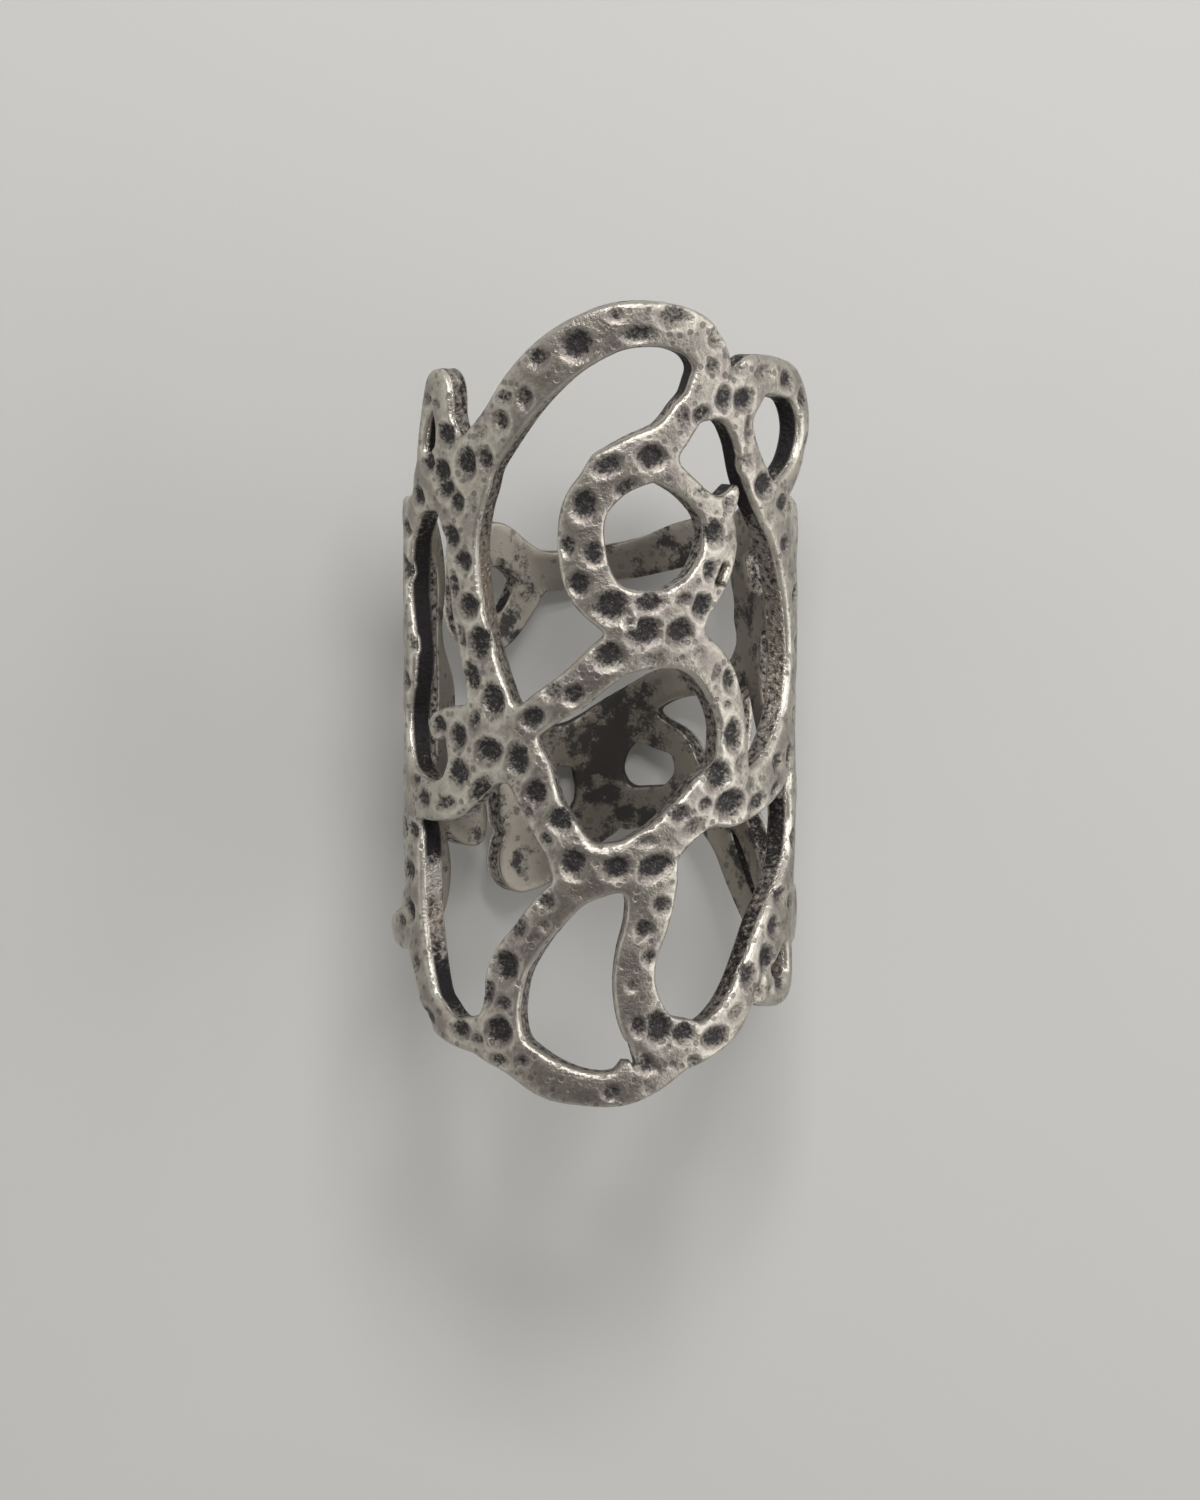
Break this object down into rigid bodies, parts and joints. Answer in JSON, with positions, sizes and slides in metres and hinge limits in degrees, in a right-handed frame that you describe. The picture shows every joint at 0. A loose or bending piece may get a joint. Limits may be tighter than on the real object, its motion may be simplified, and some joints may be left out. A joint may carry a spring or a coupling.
{
  "type": "wrap ring",
  "caption": "Long open finger ring in one cast openwork wall of curling strands, split at the back, with a long shield-like front.",
  "frame": {"origin": "middle of the ring's length and breadth, on the surface that it rests on", "axes": "+Y along the finger hole towards the crown end, +Z out of the middle of the long front face, +X towards the front's right-hand side"},
  "size_m": [0.0219, 0.0413, 0.0205],
  "materials": {
    "silver": "satin"
  },
  "bodies": {
    "root": {"band": "silver"}
  },
  "joints": []
}
